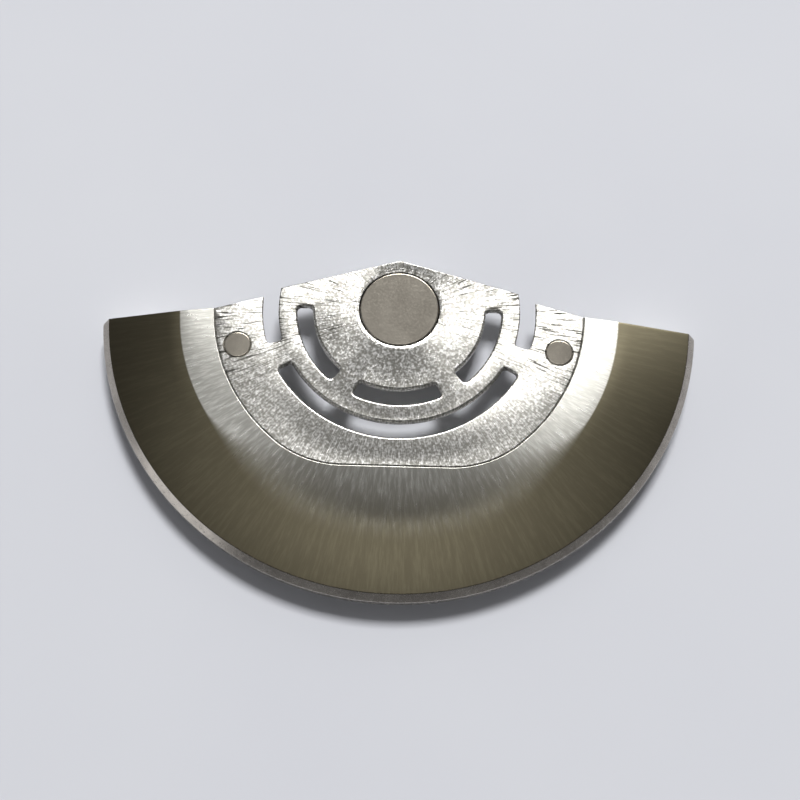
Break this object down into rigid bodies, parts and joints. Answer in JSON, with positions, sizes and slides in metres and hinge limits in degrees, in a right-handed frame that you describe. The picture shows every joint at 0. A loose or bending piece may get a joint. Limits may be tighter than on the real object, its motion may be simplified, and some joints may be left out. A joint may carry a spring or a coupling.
{
  "type": "automatic watch rotor",
  "caption": "Half-disc oscillating weight for a self-winding watch: slotted plate riveted into a heavy rim, on a small ball bearing with a toothed pinion.",
  "frame": {"origin": "on the axis of rotation, at the seat under the bearing's fixed core, where the spigot begins", "axes": "+Z along the axis of rotation, up out of the watch; the heavy half lies towards -Y at rest; +X along the straight back edge, to the right"},
  "size_m": [0.027, 0.0163, 0.0019],
  "materials": {
    "heavy_alloy": "brushed",
    "plate_metal": "brushed",
    "rivet_metal": "satin",
    "bearing_steel": "satin",
    "ball_steel": "polished",
    "cage_brass": "satin"
  },
  "bodies": {
    "hub": {"bearing_core": "bearing_steel", "bearing_lower_cone": "bearing_steel"},
    "rotor": {"carrier_plate": "plate_metal", "weight_segment": "heavy_alloy", "rivet_left": "rivet_metal", "rivet_right": "rivet_metal", "bearing_outer_ring": "bearing_steel", "rotor_pinion": "bearing_steel"},
    "ball_train": {"ball_cage": "cage_brass", "bearing_ball_1": "ball_steel", "bearing_ball_2": "ball_steel", "bearing_ball_3": "ball_steel", "bearing_ball_4": "ball_steel", "bearing_ball_5": "ball_steel"}
  },
  "joints": [
    {"name": "rotor_spin", "type": "hinge", "parent": "hub", "child": "rotor", "pos_m": [0, 0, 0], "axis": [0, 0, 1], "continuous": true},
    {"name": "ball_train_spin", "type": "hinge", "parent": "hub", "child": "ball_train", "pos_m": [0, 0, 0], "axis": [0, 0, 1], "continuous": true}
  ],
  "couplings": [
    {"joint": "ball_train_spin", "follows": "rotor_spin", "ratio": 0.546}
  ]
}
